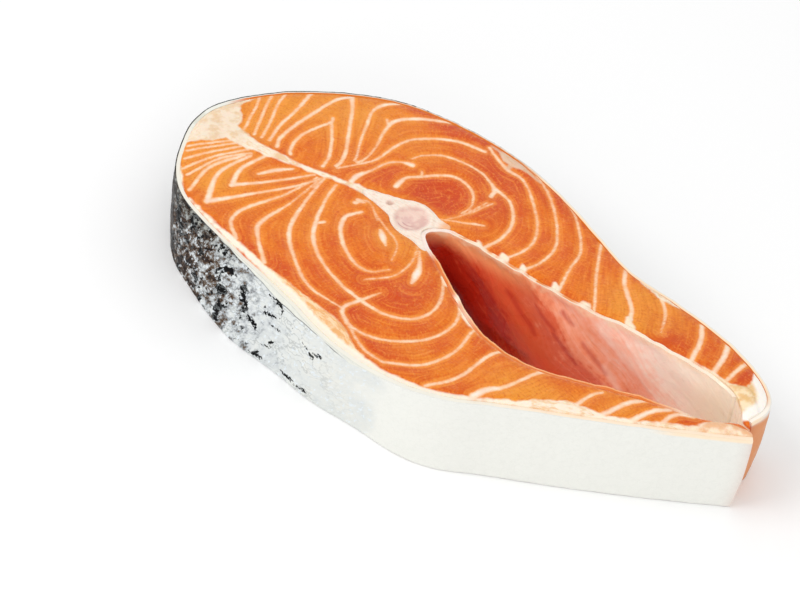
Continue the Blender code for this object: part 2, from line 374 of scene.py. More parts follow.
def stroke_distance(rows, stops):
    """For each row, the distance in mm to the edge of the nearest stroke, and that stop's number."""
    stops = stops.astype(np.float32)
    distance = np.empty(len(rows), np.float32)
    nearest = np.empty(len(rows), np.int32)
    for start in range(0, len(rows), ROWS_AT_ONCE):
        stop = start + ROWS_AT_ONCE
        part = rows[start:stop, :2].astype(np.float32)
        gap_x = part[:, 0:1] - stops[:, 0]
        gap_y = part[:, 1:2] - stops[:, 1]
        gap = np.sqrt(gap_x * gap_x + gap_y * gap_y) - stops[:, 2]
        which = gap.argmin(1)
        nearest[start:stop] = which
        distance[start:stop] = gap[np.arange(len(part)), which]
    return distance, nearest


# %% [markdown]
# ## The flesh's pattern, drawn as strokes
# Salmon muscle is made of layers like nested cones, so a slice shows them as chevrons by the back and
# as whorls round the backbone, with white sheets of connective tissue between. They are drawn here
# the way a painter would, each with a width and the few points that it passes. A third number at a
# point changes the width from there on. The fat at the back, the rims and the tips is drawn likewise.

# %% Strokes
SHEETS = (
    # the far side of the back
    (1.0, (-58, 13.5), (-56.5, 10), (-55.3, 6.2), (-53.9, 2.5), (-53.4, .6)),
    (1.0, (-56.5, 17.5), (-54.8, 12.5), (-52.3, 6.2), (-50, .6)),
    (1.0, (-54, 20.5), (-52.8, 15), (-50.3, 8.7), (-48.2, 2.5), (-47.8, 1)),
    (1.6, (-49, 25), (-47.5, 16, 1.2), (-47, 8), (-45.5, 1.5)),
    (2.2, (-40, 31.5), (-42.3, 27, 1.5), (-43.2, 19), (-44, 10), (-43.9, 4), (-42.5, .8)),
    (2.2, (-40, 31.5), (-37, 27.5, 1.4), (-32, 19), (-27.5, 11), (-26.2, 7), (-26.3, 5)),
    (1.2, (-38.2, 20), (-37.5, 18.5), (-39, 14), (-40.2, 9), (-40.2, 6), (-39, 1.8), (-38, .7)),
    (1.2, (-37.5, 18.5), (-34.5, 14.5), (-31.5, 10), (-29.5, 6), (-28.8, 2.5)),
    (1.8, (-28, 39), (-31.5, 34), (-32, 30, 1.2), (-30, 24.5), (-27, 17, .8), (-24.5, 12), (-24, 10)),
    (1.6, (-14, 41), (-21, 36), (-25, 31, 1.8), (-25, 26, 1.2), (-22.8, 18, .8), (-22.3, 12.5), (-23, 10)),
    (1.4, (0, 37.3), (-8, 35.5), (-17, 28.5, 1.1), (-19.2, 22.5), (-20.2, 14, .8), (-25.5, 4.5, .5)),
    (2.4, (-11.7, 19.4), (-14.3, 18.4, .8), (-16.8, 15.7), (-18.3, 10.3, .9), (-19.9, 5.7, 2.2), (-19.8, 3)),
    # the far side of the belly
    (.4, (-13.1, 21.4), (-11.5, 24.6), (-7.3, 28.1, .9), (-1.8, 29.5), (3.6, 29.5), (7.7, 27.9, 1.1),
     (10.4, 25.9, 1.6), (11.1, 23.1)),
    (1.6, (10.5, 26.5), (16, 24.8, 1.2), (20.8, 18.5), (21.8, 11.5), (20, 5.5)),
    (2.0, (-10, 9.5), (-10.2, 12.4, 1.8), (-9.9, 14.4, 1.1), (-7.3, 17.6), (-5.2, 20.1), (-2.5, 22.4),
     (.1, 23.4), (3.5, 23), (6.8, 20.9, .9), (9.3, 16.2, .7), (8.8, 12.5)),
    (1.2, (-7.3, 17.7), (-8.4, 19.3, .6)),
    (0.4, (5.6, 7.2), (9, 8.6, .5), (14.6, 11.7, .9), (16, 12.4, .3)),
    (0.3, (7.4, 8.5), (9.5, 12.1, .5), (11.7, 20.2, .3)),
    (1.0, (0, 39.5), (3.5, 37.5), (8.5, 35.3, 1.6), (14, 34.5, .9), (21, 28.5), (27, 21), (29, 13.5),
     (26, 4.5)),
    (.9, (15, 39.3), (22, 34.5), (29.5, 26.5), (34.3, 18), (34.3, 10.5), (32.5, 5.5)),
    (.9, (27, 36), (33, 31), (40, 21.5), (41.5, 13), (43.3, 5.3)),
    (1.0, (42.5, 28), (47.5, 17), (53.8, 5.5)),
    (1.5, (52.5, 23.5), (55, 18.5), (61.5, 11), (63, 5.5)),
    (1.2, (63, 22), (68, 17), (70.8, 10, .5)),
    (1.8, (77.5, 19.5), (80, 14), (81.5, 6.5)),
    (2.0, (85.5, 19.3), (87.3, 13), (87.8, 6)),
    (1.5, (92.9, 16.6), (92.3, 13), (92, 10), (91.6, 6)),
    # the near side of the belly
    (1.0, (-11, -4.5), (-13, -9.5, 1.8), (-9.5, -16, 1.5), (-2, -21.5, 1.1), (3.5, -21.8, .6), (7, -18, .3)),
    (1.2, (-3.2, -7.4), (-1.4, -9.2, 2.6), (1.2, -11.5, .8)),
    (0.4, (8.8, -7), (11.8, -11.7, 1.8), (12.9, -14.5, 2.8), (13.9, -18.2, 1)),
    (1.6, (-14.4, -3), (-12.7, -.3, .5), (-10.4, -.9, .4), (-6.2, -4.7, .3)),
    (0.3, (-9, -2), (-4, -5, .5), (3, -9), (5.5, -15, .3)),
    (0.3, (7.5, -6), (9.5, -12, .5), (9, -19), (4, -25, .3)),
    (1.1, (-22, -1), (-20.5, -8), (-16, -19, 1.6), (-10.5, -25, 1.2), (-2, -29.3), (7.5, -31.2, 1.4),
     (16, -31.2, 1), (22, -27, 1), (23, -19.5), (18.5, -10)),
    (0.4, (10, -26), (7.3, -31.5, 1.4), (5.8, -36.5), (9.5, -40)),
    (0.9, (-25.8, -1), (-24, -12, 1.2), (-21, -22.5, 1.7), (-15, -29.3, 1.2), (-5, -36, 1), (5, -36.5, .5)),
    (1.0, (6, -37.5), (12, -40.3), (20, -38.5), (27.5, -31.5), (29.7, -22), (25.5, -13)),
    (1.0, (24.5, -44.5), (31.5, -39.5), (35, -31), (34.5, -21)),
    (1.2, (36, -44.5), (40.5, -37), (42, -27), (43.5, -22.5)),
    (0.8, (10.5, -40.5), (18, -44.5), (24, -45)),
    (2.6, (46.5, -39.5), (48, -36), (51, -32, 1.4), (54.5, -23), (56, -20.5)),
    (2.0, (67, -27), (68.5, -20, 1), (70, -17.5)),
    (2.0, (73, -26), (76.5, -16.5), (79, -13)),
    (2.0, (79.5, -22.5), (82.5, -15), (85.5, -11.5)),
    (1.6, (86, -18.5), (87.5, -12), (91, -9.3)),
    # the near side of the back
    (1.0, (-53, -5.5), (-58, -12), (-60, -15)),
    (1.0, (-51.5, -5.5), (-57, -13.5), (-59, -16.5)),
    (1.0, (-49.5, -5.5), (-54.5, -13.5), (-57.5, -19.5)),
    (1.0, (-47.5, -5.5), (-52.5, -14), (-55.5, -23)),
    (1.0, (-46, -6), (-50.8, -13.5), (-53, -24)),
    (1.4, (-46.8, -8), (-50.5, -18), (-49, -28)),
    (1.4, (-45.5, -7), (-47.3, -18, 1.6), (-43, -28.5, 2.4)),
    (2.4, (-43, -28.5), (-36, -18.5, 1.2), (-30, -9.5, 1), (-26.5, -2, .6)),
    (1.2, (-42.5, -4), (-44, -13, 1.6), (-42, -19.5, 2)),
    (2.0, (-42, -19.5), (-36, -12.5, 1.2), (-28.5, -1.5, .8)),
    (1.0, (-39.5, -11.5), (-37, -7, 2), (-34, -3.5, 1)),
    (0.6, (-27.3, -2), (-29.8, -14, .9), (-34.3, -24.5, 1.4), (-34, -30), (-29, -34.5)),
    (0.5, (-26.3, -1.5), (-26.6, -15, .8), (-28, -26, 1.8), (-25, -30.5, 1.4), (-18.5, -36.5)),
    (0.8, (-27.2, 29.8), (-25.5, 28.5, 1.4)),
    (0.8, (-17.4, -16.2), (-16, -14.5, 1.4)),
    (1.8, (-14.3, -1.6), (-12.5, -1.2, .8)),
    (0.3, (10.5, 13.5), (12, 18, .5), (13, 21, .3)),
)
FAT = (
    # the pad along the back
    (1.4, (-57.5, 17.8), (-60.6, 12, 2.4), (-62, 7, 4.4), (-60.4, 1, 9), (-59.7, -4, 9.6), (-61, -10, 4.6),
     (-62, -14, 2.2), (-59, -20, 1), (-51, -29)),
    # the sheet between the two sides
    (2.6, (-14.5, 2.6), (-19, 1.6, 1.8), (-25, .4, 1.1), (-31, -1, 1.3), (-37, -2, 2), (-44, -2.8, 3.2),
     (-50, -3.2, 4.2), (-57, -2, 6)),
    # the near rim
    (.5, (-47, -30.6), (-36, -34, 1), (-28, -35.8, 1.4), (-20, -37.5, 1.6), (-12, -39.2, 2.2),
     (-6, -40.6, 3), (0, -42, 4),
     (6, -43.2, 5.2), (10, -44.6, 4.4), (15, -46.5, 2.8), (20, -47.4, 1.8), (28, -47.5, 1.1), (40, -44.2, .8),
     (55, -35.2, 1.2), (66, -28, 3.6), (75, -24, 1.4), (90, -15, 1.4), (100, -9, 3)),
    # the far rim and the notch halfway along it
    (.3, (0, 40.6), (3, 40, 1.2), (8, 39, 4), (12, 38.4, 1.6), (18, 37, .3)),
    (.3, (58, 22.2), (62, 21.6, 1.8), (66, 21.2, 2), (71, 21, .3)),
    (2.0, (8, 38.5), (8.5, 36, 1.2)),
    # nubs along the far edge of the belly
    (.6, (17.4, 6.8), (18.6, 5.9, 2)),
    (.7, (25.3, 6.9), (26.3, 5.8, 2.4)),
    (.7, (31.4, 6.9), (32.3, 5.7, 2.2)),
    (.7, (41.2, 6.8), (42.3, 5.6, 2.2)),
    (.8, (50.4, 5.7), (52, 5.4, 1.6)), (1.5, (62, 8.4), (63.2, 6.9, 1.8), (64, 6, 3)),
    (.4, (78, 6.2), (88, 6.3, 1.2), (92, 5.3, 1.8), (95, 4.8, 3.4), (98, 4.5, 6)),
    # the curled edge on the near side of the belly
    (1.8, (25.2, -13.4), (27, -15.6, 1.3), (31, -18.6, 1.5), (36, -20.7, .6)),
    (0.8, (18.5, -10.4), (20.5, -12.2, 1)),
    # the tips of the flaps
    (2.6, (96.8, 14.6), (99.8, 10, 5.6), (100.4, 4.5, 7), (101, 0, 4)),
    (2, (94.6, -11.5), (97.5, -9.2, 5), (104, -6.4, 4)),
)
STOP_STEP = 0.35 * MM
SHEET_SHARE = 0.68


def stroke_stops(strokes, share=1.0):
    """Stops along the strokes, as X, Y and half width in mm, with each stop's place along its stroke."""
    stops = []
    along = []
    for number, (width, *points) in enumerate(strokes):
        knots = []
        for point in points:
            width = point[2] if len(point) > 2 else width
            knots.append((point[0], point[1], width * share / 2))
        path = smooth_path(knots, STOP_STEP)
        stops += [tuple(point / MM) for point in path]
        along += [number * 100 + i * STOP_STEP / MM for i in range(len(path))]
    return np.array(stops), np.array(along)


sheet_stops, sheet_along = stroke_stops(SHEETS, SHEET_SHARE)
fat_stops, fat_along = stroke_stops(FAT)
print("strokes:", len(SHEETS), "sheets,", len(FAT), "of fat")

# %% [markdown]
# ## The flesh
# A fine slab is cut to the outline of the muscle, to the open belly and to the bone's seat. Then its
# upper face gets the relief: each flake is a little domed, the sheets lie in shallow grooves, and
# nubs of fat stand up at the belly's edge. The distances to the sheets, the fat and the rims are kept
# on the mesh, because the material draws the pattern from them, as crisp as the render asks.

# %% Flesh
FLESH_CELL = 0.47 * MM
WALL_LEVELS = 9
FLAKE_DOME = 0.22
PATCH_FALL = 1.6
NUB_HEIGHT = 0.35
# place, reach along X and Y in mm, and strength of the deeper red and of the paler gold flesh
PAD = ((-58, 0, 8, 14, 1),)
DEEP = (
    (0, 13.8, 7.6, 8, 1), (0, 15, 14, 12, .3), (15, 19, 7, 8, .5), (-16, 8, 6, 6, .4), (8, 31, 10, 5, .8),
    (-8, 39, 22, 3.5, .8), (30, 33, 14, 3.5, .8), (6, -24, 14, 7, .55), (16, -27, 8, 6, .4),
    (8, -36.5, 7, 3.5, .9), (20, -42, 18, 3, .6), (-22, -35, 22, 2.5, .7), (75, 8, 6, 4, .6),
    (80, 14, 20, 6, .35), (94.4, 10, 1.8, 4.5, .7), (91.5, -12.5, 2, 4, .4), (16, -10, 6, 10, .3),
    (-40, -28, 12, 3, .4), (45, -40, 6, 6, .4), (88, -15, 8, 4, .2),
)
GOLD = (
    (-53, 9, 9, 14, 1), (-40, 24, 12, 12, .9), (-52, -16, 11, 14, .9), (-40, -22, 12, 10, .5),
    (58, -32, 14, 9, 1), (66, 14, 12, 9, .8), (80, -20, 12, 8, .6), (-26, 30, 10, 10, .4),
    (34, -40, 12, 6, .3),
    (3, -9, 9, 5, .6), (-34, 10, 8, 8, .25), (60, 12, 12, 8, .5), (36, -14, 12, 8, .2), (-20, -16, 8, 14, .3),
    (10, 8, 8, 4, .4), (-12, 25, 9, 6, .4),
)


def patches(rows, spots):
    """Oval patches of a strength, even in the middle and falling off past their reach."""
    total = np.zeros(len(rows))
    for x, y, reach_x, reach_y, strength in spots:
        away = ((rows[:, 0] - x) / reach_x) ** 2 + ((rows[:, 1] - y) / reach_y) ** 2
        total += strength * np.exp(-away ** PATCH_FALL)
    return np.clip(total, 0, 1)


outline = shifted(skin_path, SKIN_THICKNESS + SEAM)
bone_seat = shifted(bone_path, -SEAM, closed=True)
flesh = fine_slab("flesh_fine", FLESH_CELL, WALL_LEVELS, outline, [belly_path, bone_seat])
rows = places(flesh)
upper = on_upper_face(rows)
sheet_gap, nearest_sheet = stroke_distance(rows, sheet_stops)
fat_gap, nearest_fat = stroke_distance(rows, fat_stops)
rim_gap = distance_to(rows, outline)
belly_gap = distance_to(rows, belly_path)
bone_gap = distance_to(rows, bone_seat)
for name, values in (
    ("sheet", sheet_gap), ("fat", fat_gap), ("rim", rim_gap), ("belly", belly_gap), ("bone", bone_gap),
    ("fibre", sheet_along[nearest_sheet]), ("grease", fat_along[nearest_fat]),
    ("deep", patches(rows, DEEP)), ("gold", patches(rows, GOLD)), ("pad", patches(rows, PAD)),
):
    keep_field(flesh, name, values)

near_rim = 1 - np.clip(np.minimum(np.minimum(rim_gap, belly_gap), bone_gap) * MM / RIM_WIDTH, 0, 1)
rise = relief(rows) - RIM_DROP / MM * near_rim ** 2
rise += FLAKE_DOME * (smooth_step(sheet_gap, -0.2, 2.2) - 0.6) * (1 - near_rim)
rise += NUB_HEIGHT * smooth_step(-fat_gap, -0.4, 0.9) * (belly_gap < 4)
rise += 0.07 * rough(rows, 2.1) + 0.035 * rough(rows, 0.9, seed=7)
rows[:, 2] += rise * upper
taper(rows)
put_places(flesh, rows)
print("flesh:", len(flesh.data.vertices), "vertices,", len(flesh.data.polygons), "faces")

# %% [markdown]
# ## Short names for shader nodes
# A material is a tree of nodes. These helpers add one node, fill its sockets with values or with
# links, and hand back its output, so that a material reads like a recipe. Colours are mixed as red,
# green and blue from 0 to 255, and turned into the linear values that Blender uses.

# %% Shader helpers


def colour(red, green, blue):
    """A colour as the screen shows it, from 0 to 255, in linear values."""
    shown = [c / 255 for c in (red, green, blue)]
    return tuple(((c + 0.055) / 1.055) ** 2.4 if c > 0.04 else c / 12.92 for c in shown) + (1,)


def add(tree, kind, values=(), output=0, **settings):
    """Adds a node. Each value fills the input of the same number: a socket is linked, None is left."""
    made = tree.nodes.new("ShaderNode" + kind)
    for name, value in settings.items():
        setattr(made, name, value)
    for i, value in enumerate(values):
        if isinstance(value, bpy.types.NodeSocket):
            tree.links.new(value, made.inputs[i])
        elif value is not None:
            made.inputs[i].default_value = value
    return made.outputs[output]


def field(tree, name):
    return add(tree, "Attribute", output=2, attribute_name=name)


def maths(tree, operation, a, b=0.0):
    return add(tree, "Math", (a, b), operation=operation)


def plus(tree, a, b):
    return maths(tree, "ADD", a, b)


def times(tree, first, *others):
    """The product of two or more values."""
    for other in others:
        first = maths(tree, "MULTIPLY", first, other)
    return first


def centred(tree, value, strength=1.0):
    """Noise from 0 to 1, moved to lie round 0 and given a strength."""
    return times(tree, maths(tree, "SUBTRACT", value, 0.5), strength)


def ramp(tree, value, low, high, start=0.0, end=1.0):
    """Turns a range of values smoothly into another one."""
    return add(tree, "MapRange", (value, low, high, start, end), interpolation_type="SMOOTHSTEP")


def ramp_line(tree, value, low, high, start=0.0, end=1.0):
    """Turns a range of values evenly into another one."""
    return add(tree, "MapRange", (value, low, high, start, end))


def close_to(tree, value, middle, reach, flat=0.0, peak=1.0):
    """Has its peak where the value is close to the middle, and falls to 0 at the reach."""
    away = maths(tree, "ABSOLUTE", maths(tree, "SUBTRACT", value, middle))
    return ramp(tree, away, reach, flat, 0.0, peak)


def mix(tree, share, first, second, blend="MIX"):
    """Mixes two colours, each a socket, or red, green and blue as the screen shows them."""
    first, second = (c if isinstance(c, bpy.types.NodeSocket) else colour(*c) for c in (first, second))
    return add(
        tree, "Mix", (share, None, None, None, None, None, first, second), output=2,
        data_type="RGBA", blend_type=blend,
    )


def two_tone(tree, value, low, high, first, second):
    """One colour below a range of values, another above it."""
    return mix(tree, ramp(tree, value, low, high), first, second)


def tones(tree, value, steps):
    """A colour ramp: each step is a place from 0 to 1 and a colour as the screen shows it."""
    made = add(tree, "ValToRGB", (value,)).node
    stops = made.color_ramp.elements
    while len(stops) < len(steps):
        stops.new(0.5)
    for stop, (place, mixed) in zip(stops, steps):
        stop.position = place
        stop.color = colour(*mixed)
    return made.outputs[0]


def axis(tree, vector, number):
    """The vector's X, Y or Z, by the numbers 0, 1 and 2."""
    return add(tree, "SeparateXYZ", (vector,), output=number)


def plane(tree, x, y):
    return add(tree, "CombineXYZ", (x, y, 0.0))


def stretched(tree, vector, x, y, z=1):
    return add(tree, "Mapping", (vector, None, None, (x, y, z)))


def grain(tree, vector, size, detail=2.0, roughness=0.5):
    """Cloudy noise from 0 to 1, with lumps of a size in the vector's own units."""
    return add(tree, "TexNoise", (vector, None, 1 / size, detail, roughness), noise_dimensions="3D")


def new_material(name):
    made = bpy.data.materials.new(name)
    made.use_nodes = True
    tree = made.node_tree
    return made, tree, tree.nodes["Principled BSDF"].inputs


def set_up(shader, values):
    for name, value in values.items():
        shader[name].default_value = value


def in_mm(tree):
    """The place on the piece in mm, so that a grain's size is a real one."""
    return stretched(tree, add(tree, "TexCoord", output=3), 1000, 1000, 1000)


print("deep orange is", tuple(round(c, 3) for c in colour(236, 118, 40)))

# %% [markdown]
# ## The moist surface, as a node group
# Everything cut from a fish is wet. Water fills the finest pits and lies in a film, so its gloss
# changes from spot to spot, and the highlights break up. Four materials use this, so it is a group
# that is built once. It puts out a height for bump and a roughness, and each material sets its own
# grain, depth and gloss.

# %% Node group "moist surface"
moist = bpy.data.node_groups.new("moist surface", "ShaderNodeTree")
for label, kind in (("Place", "Vector"), ("Grain", "Float"), ("Gloss", "Float")):
    moist.interface.new_socket(name=label, in_out="INPUT", socket_type="NodeSocket" + kind)
for label in ("Height", "Roughness"):
    moist.interface.new_socket(name=label, in_out="OUTPUT", socket_type="NodeSocketFloat")
taken = moist.nodes.new("NodeGroupInput").outputs
given = moist.nodes.new("NodeGroupOutput").inputs
scaled = add(moist, "VectorMath", (taken["Place"],), operation="SCALE")
moist.links.new(taken["Grain"], scaled.node.inputs["Scale"])
pits = grain(moist, scaled, 1.0, detail=3.0, roughness=0.6)
film = grain(moist, scaled, 6.0, detail=1.0)
moist.links.new(plus(moist, pits, times(moist, film, 1.5)), given["Height"])
spread = ramp(moist, film, 0.35, 0.65, -0.1, 0.1)
moist.links.new(plus(moist, taken["Gloss"], spread), given["Roughness"])


def moisten(tree, place, grain_per_mm, gloss, depth, extra_height=None):
    """Adds the moist surface and wires its height and roughness to the material's shader."""
    group = tree.nodes.new("ShaderNodeGroup")
    group.node_tree = moist
    tree.links.new(place, group.inputs["Place"])
    group.inputs["Grain"].default_value = grain_per_mm
    group.inputs["Gloss"].default_value = gloss
    height = group.outputs["Height"]
    if extra_height:
        height = plus(tree, height, extra_height)
    bump = add(tree, "Bump", (1.0, depth * MM, None, height))
    shader = tree.nodes["Principled BSDF"].inputs
    tree.links.new(bump, shader["Normal"])
    tree.links.new(group.outputs["Roughness"], shader["Roughness"])


print("moist surface:", len(moist.nodes), "nodes")

# %% [markdown]
# ## The flesh's finish
# The muscle is orange, deeper red in the whorls and paler gold towards the back. Beside each sheet
# the orange turns light, and the sheet itself is a pinkish cream with ragged edges. Fine fibres run
# across the flakes from sheet to sheet. The fat is cream with tan clouds. All of this follows the
# distances kept on the mesh. A little light goes into raw flesh and comes out again, hence the
# subsurface share.

# %% Material "salmon flesh"
flesh_finish, tree, shader = new_material("salmon flesh")
place = in_mm(tree)
plan_x, plan_y, level = (axis(tree, place, number) for number in range(3))
rim, belly, gap = (field(tree, name) for name in ("rim", "belly", "sheet"))
wobble = centred(tree, grain(tree, place, 1.3, 3), 0.6)
sheet = plus(tree, gap, wobble)
fat = plus(tree, field(tree, "fat"), centred(tree, grain(tree, place, 3, 2), 1.7))

muscle = two_tone(tree, grain(tree, place, 6, 3), 0.35, 0.68, (230, 116, 10), (219, 93, 8))
muscle = mix(tree, field(tree, "gold"), muscle, (236, 148, 44))
muscle = mix(tree, field(tree, "deep"), muscle, (206, 66, 10))
muscle = mix(tree, ramp(tree, field(tree, "bone"), 3.0, 0.0, 0.0, 0.6), muscle, (240, 146, 50))
muscle = mix(tree, ramp(tree, sheet, 1.5, 0.0, 0.0, 0.6), muscle, (246, 156, 62))

along = field(tree, "fibre")
fibres = grain(tree, plane(tree, times(tree, along, 2.4), times(tree, gap, 0.4)), 1.0, 3)
layers = grain(tree, plane(tree, times(tree, along, 0.12), times(tree, gap, 1.3)), 1.0, 3)
specks = grain(tree, place, 0.6, 3, 0.6)
texture = times(tree, plus(tree, fibres, specks), 0.5)
for pattern, limit, strength, shade in (
    (texture, 0.64, 0.4, (248, 164, 70)), (texture, 0.36, 0.4, (194, 66, 4)),
    (layers, 0.68, 0.4, (246, 152, 60)), (layers, 0.34, 0.25, (200, 70, 8)),
):
    muscle = mix(tree, ramp(tree, pattern, 0.5, limit, 0.0, strength), muscle, shade)

cream = mix(tree, grain(tree, place, 1.6, 3), (255, 222, 190), (250, 200, 156))
cream = mix(tree, ramp(tree, sheet, -0.1, -0.7), cream, (255, 236, 218))
faded = ramp(tree, grain(tree, place, 5, 2), 0.4, 0.6, 0.75, 1.0)
muscle = mix(tree, times(tree, ramp(tree, sheet, 0.34, -0.26), faded), muscle, cream)

# fat in streaks, then the pad at the back, the far rim, the near rim, the belly's edge and the tips
streaks = grain(tree, plane(tree, times(tree, field(tree, "grease"), 0.25), fat), 1.0, 3, 0.6)
lard = two_tone(tree, streaks, 0.45, 0.65, (250, 234, 212), (240, 200, 156))
mottled = two_tone(tree, grain(tree, place, 2.4, 3), 0.4, 0.62, (244, 224, 200), (232, 200, 162))
lard = mix(tree, field(tree, "pad"), lard, mottled)
lard = mix(tree, ramp(tree, plan_y, 22, 36, 0.0, 0.6), lard, (214, 158, 120))
peach = two_tone(tree, streaks, 0.42, 0.58, (250, 216, 174), (240, 178, 114))
peach = mix(tree, ramp(tree, plus(tree, rim, times(tree, wobble, 2.0)), 2.3, 1.3), peach, (250, 238, 218))
near_rim = times(tree, ramp(tree, plan_y, -20, -26), ramp(tree, plan_x, 40, 10))
lard = mix(tree, near_rim, lard, peach)
lard = mix(tree, ramp(tree, belly, 3.0, 1.5, 0.0, 0.6), lard, (255, 230, 202))
wrinkles = ramp(tree, grain(tree, place, 3.2, 3, 0.55), 0.4, 0.62)
far_tip = mix(tree, wrinkles, (248, 226, 188), (234, 190, 130))
far_tip = mix(tree, ramp(tree, rim, 3.2, 1.6), far_tip, (255, 248, 238))
near_tip = mix(tree, wrinkles, (250, 228, 200), (238, 186, 142))
tip = mix(tree, ramp(tree, plan_y, 0, -2), far_tip, near_tip)
lard = mix(tree, ramp(tree, plan_x, 66, 76), lard, tip)
muscle = mix(tree, ramp(tree, fat, 0.5, -0.35), muscle, lard)

# the pale line beside the near skin, the pale end of the far wall and the near edge of the belly
by_skin = times(tree, ramp(tree, rim, 1.3, 0.5), ramp(tree, plan_y, -22, -27))
by_skin = times(tree, by_skin, close_to(tree, plan_x, -6, 40, 26))
muscle = mix(tree, by_skin, muscle, (243, 231, 212))
far_wall = times(tree, ramp(tree, level, 24.2, 23.6), ramp(tree, belly, 0.3, 0.1), ramp(tree, plan_x, 70, 74))
muscle = mix(tree, far_wall, muscle, (255, 238, 216))
edge = plus(tree, belly, times(tree, wobble, 2.0))
near_edge = times(tree, ramp(tree, edge, 0.8, 0.1), ramp(tree, plan_y, 1, -1, 0.0, 0.15))
muscle = mix(tree, near_edge, muscle, (252, 214, 182))
tree.links.new(muscle, shader["Base Color"])
set_up(shader, {
    "Subsurface Weight": 0.1, "Subsurface Radius": (1.0, 0.35, 0.12), "Subsurface Scale": 0.8 * MM,
    "Specular IOR Level": 0.25, "Coat Weight": 0.05, "Coat Roughness": 0.12,
})
moisten(tree, place, 1.4, 0.34, 0.06, times(tree, texture, 1.5))
print("salmon flesh:", len(tree.nodes), "nodes")

# %% [markdown]
# A finished piece gets its material, smooth faces with crisp rims, and its place. It was drawn on the
# plan, so it is moved to the frame's origin, and there it takes the place of its solid.

# %% Finish the flesh


def finish_piece(piece, finish, node):
    """Gives a piece its material, smooth faces with crisp rims, and its place in the frame."""
    piece.data.materials.clear()
    piece.data.materials.append(finish)
    piece.data.transform(Matrix.Translation(-PLAN_MIDDLE))
    select_only(piece)
    bpy.ops.object.shade_smooth_by_angle(angle=math.radians(40))
    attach(piece, "root")
    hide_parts(node)
    print(piece.name, "replaces", node, "with", len(piece.data.polygons), "faces")


finish_piece(flesh, flesh_finish, "flesh")

# %% [markdown]
# ## Thin bands: how the skin and the lining are made
# Both are sheets that stand along a curve. A ribbon is drawn along the outline, cut into levels so
# that it can lean, and given its thickness with Solidify. The first half of its vertices is then the
# face that was drawn, and the second half the other face, which tells the material how deep it is.

# %% Bands


def make_band(name, path, top_drop, thickness, cell):
    """A thin fine band along a path, its thickness to the path's right hand."""
    low, high = CLEAR_OF_BOARD, CUT_THICKNESS - top_drop
    band = draw_wall(name, path, low, high, closed=False)
    cut_levels(band, low, high, round((high - low) / cell))
    first = min(band.data.polygons, key=lambda face: (face.center - path[0]).length)
    along = path[1] - path[0]
    if first.normal.dot(Vector((along.y, -along.x, 0))) > 0:
        band.data.flip_normals()
    stops = np.array([(point.x / MM, point.y / MM, 0) for point in path])
    rows = places(band)
    nearest = stroke_distance(rows, stops)[1]
    steps = np.hypot(*np.diff(stops[:, :2], axis=0).T)
    keep_field(band, "along", np.concatenate([[0], np.cumsum(steps)])[nearest])
    keep_field(band, "height", rows[:, 2])
    taper(rows)
    put_places(band, rows)
    drawn = len(band.data.vertices)
    apply_modifier(band, "SOLIDIFY", thickness=thickness, offset=-1, use_even_offset=True)
    keep_field(band, "inward", np.arange(len(band.data.vertices)) >= drawn)
    return band


def read_field(thing, name):
    values = np.empty(len(thing.data.vertices), np.float32)
    thing.data.attributes[name].data.foreach_get("value", values)
    return values


def push_out(thing, amount):
    """Moves each vertex along its normal by its own amount in mm."""
    normals = np.empty(len(thing.data.vertices) * 3, np.float32)
    thing.data.vertices.foreach_get("normal", normals)
    put_places(thing, places(thing) + normals.reshape(-1, 3) * amount[:, None])


# %% [markdown]
# ## The skin
# Scales lie in staggered rows, each over the next. On the back they are low relief on the outer face,
# and they fade towards the plain belly. A few black marks on the near side are drawn as strokes on the
# wall, and the ribbon of white fat under the cut edge follows a few heights. The upper edge is a
# little uneven, as a knife leaves it.

# %% Skin
SKIN_CELL = 0.6 * MM
SCALE_WIDE, SCALE_LONG, SCALE_RISE = 2.6, 2.4, 0.13
BACK_X, BELLY_X, NEAR_Y = -62, 26, -8
# black strokes on the near side, as X and height
MARKS = (
    (.5, (-12, 22), (-10.1, 22.1, .9), (-8, 21.9, 1.5), (-6.9, 20.2, .6)),
    (.6, (-13, 15.7), (-10.9, 16.7, .9), (-8.6, 17.4, .3)),
    (1.2, (-21.3, 16.8), (-19.6, 14.9, 1.6), (-18.7, 12.6, .6)),
    (.8, (-17.8, 11.3), (-15.5, 10.5, 1.6), (-14.3, 9.6, .8)),
    (.4, (-11.4, 6), (-9, 7, .5)),
    (.4, (1.6, 17.6), (3.4, 17, .4), (5.5, 15.7, 1.3)),
    (.6, (5.8, 17.4), (8, 18.2, 1.1)),
    (.3, (-9.6, 13.9), (-6.6, 14.5, .6)),
    (.8, (-4, 2.4), (-.9, 2.3, 1.1), (1.1, 1.8, .4), (4.2, 2.2, 1.3)),
    (.8, (-14.8, 1.1), (-11.3, 1.7, 1)),
)
# the lower edge of the white ribbon on the near side, as X and height
RIBBON_EDGE = (
    (-42, 25), (-20, 23.9), (-7, 22.7), (-3, 23.2), (2, 23.9), (8, 24.3), (13, 23.9), (17, 23.5),
    (22, 24.4), (28, 24.1), (33, 24.5), (60, 25),
)
skin = make_band("skin_fine", skin_path, SKIN_TOP_DROP, SKIN_THICKNESS + 0.02 * MM, SKIN_CELL)
rows = places(skin)
x, y = rows[:, 0], rows[:, 1]
along, height, inward = (read_field(skin, name) for name in ("along", "height", "inward"))
white = np.clip((x + 5 * rough(rows, 9) - BACK_X) / (BELLY_X - BACK_X), 0, 1)
ribbon = height - np.interp(x, *zip(*RIBBON_EDGE)) + 0.3 * rough(rows, 4, seed=6)
mark_gap = stroke_distance(rows[:, [0, 2, 1]], stroke_stops(MARKS)[0])[0]
keep_field(skin, "white", white)
keep_field(skin, "end", smooth_step(x, 84, 92) * smooth_step(-y, -4, 0))
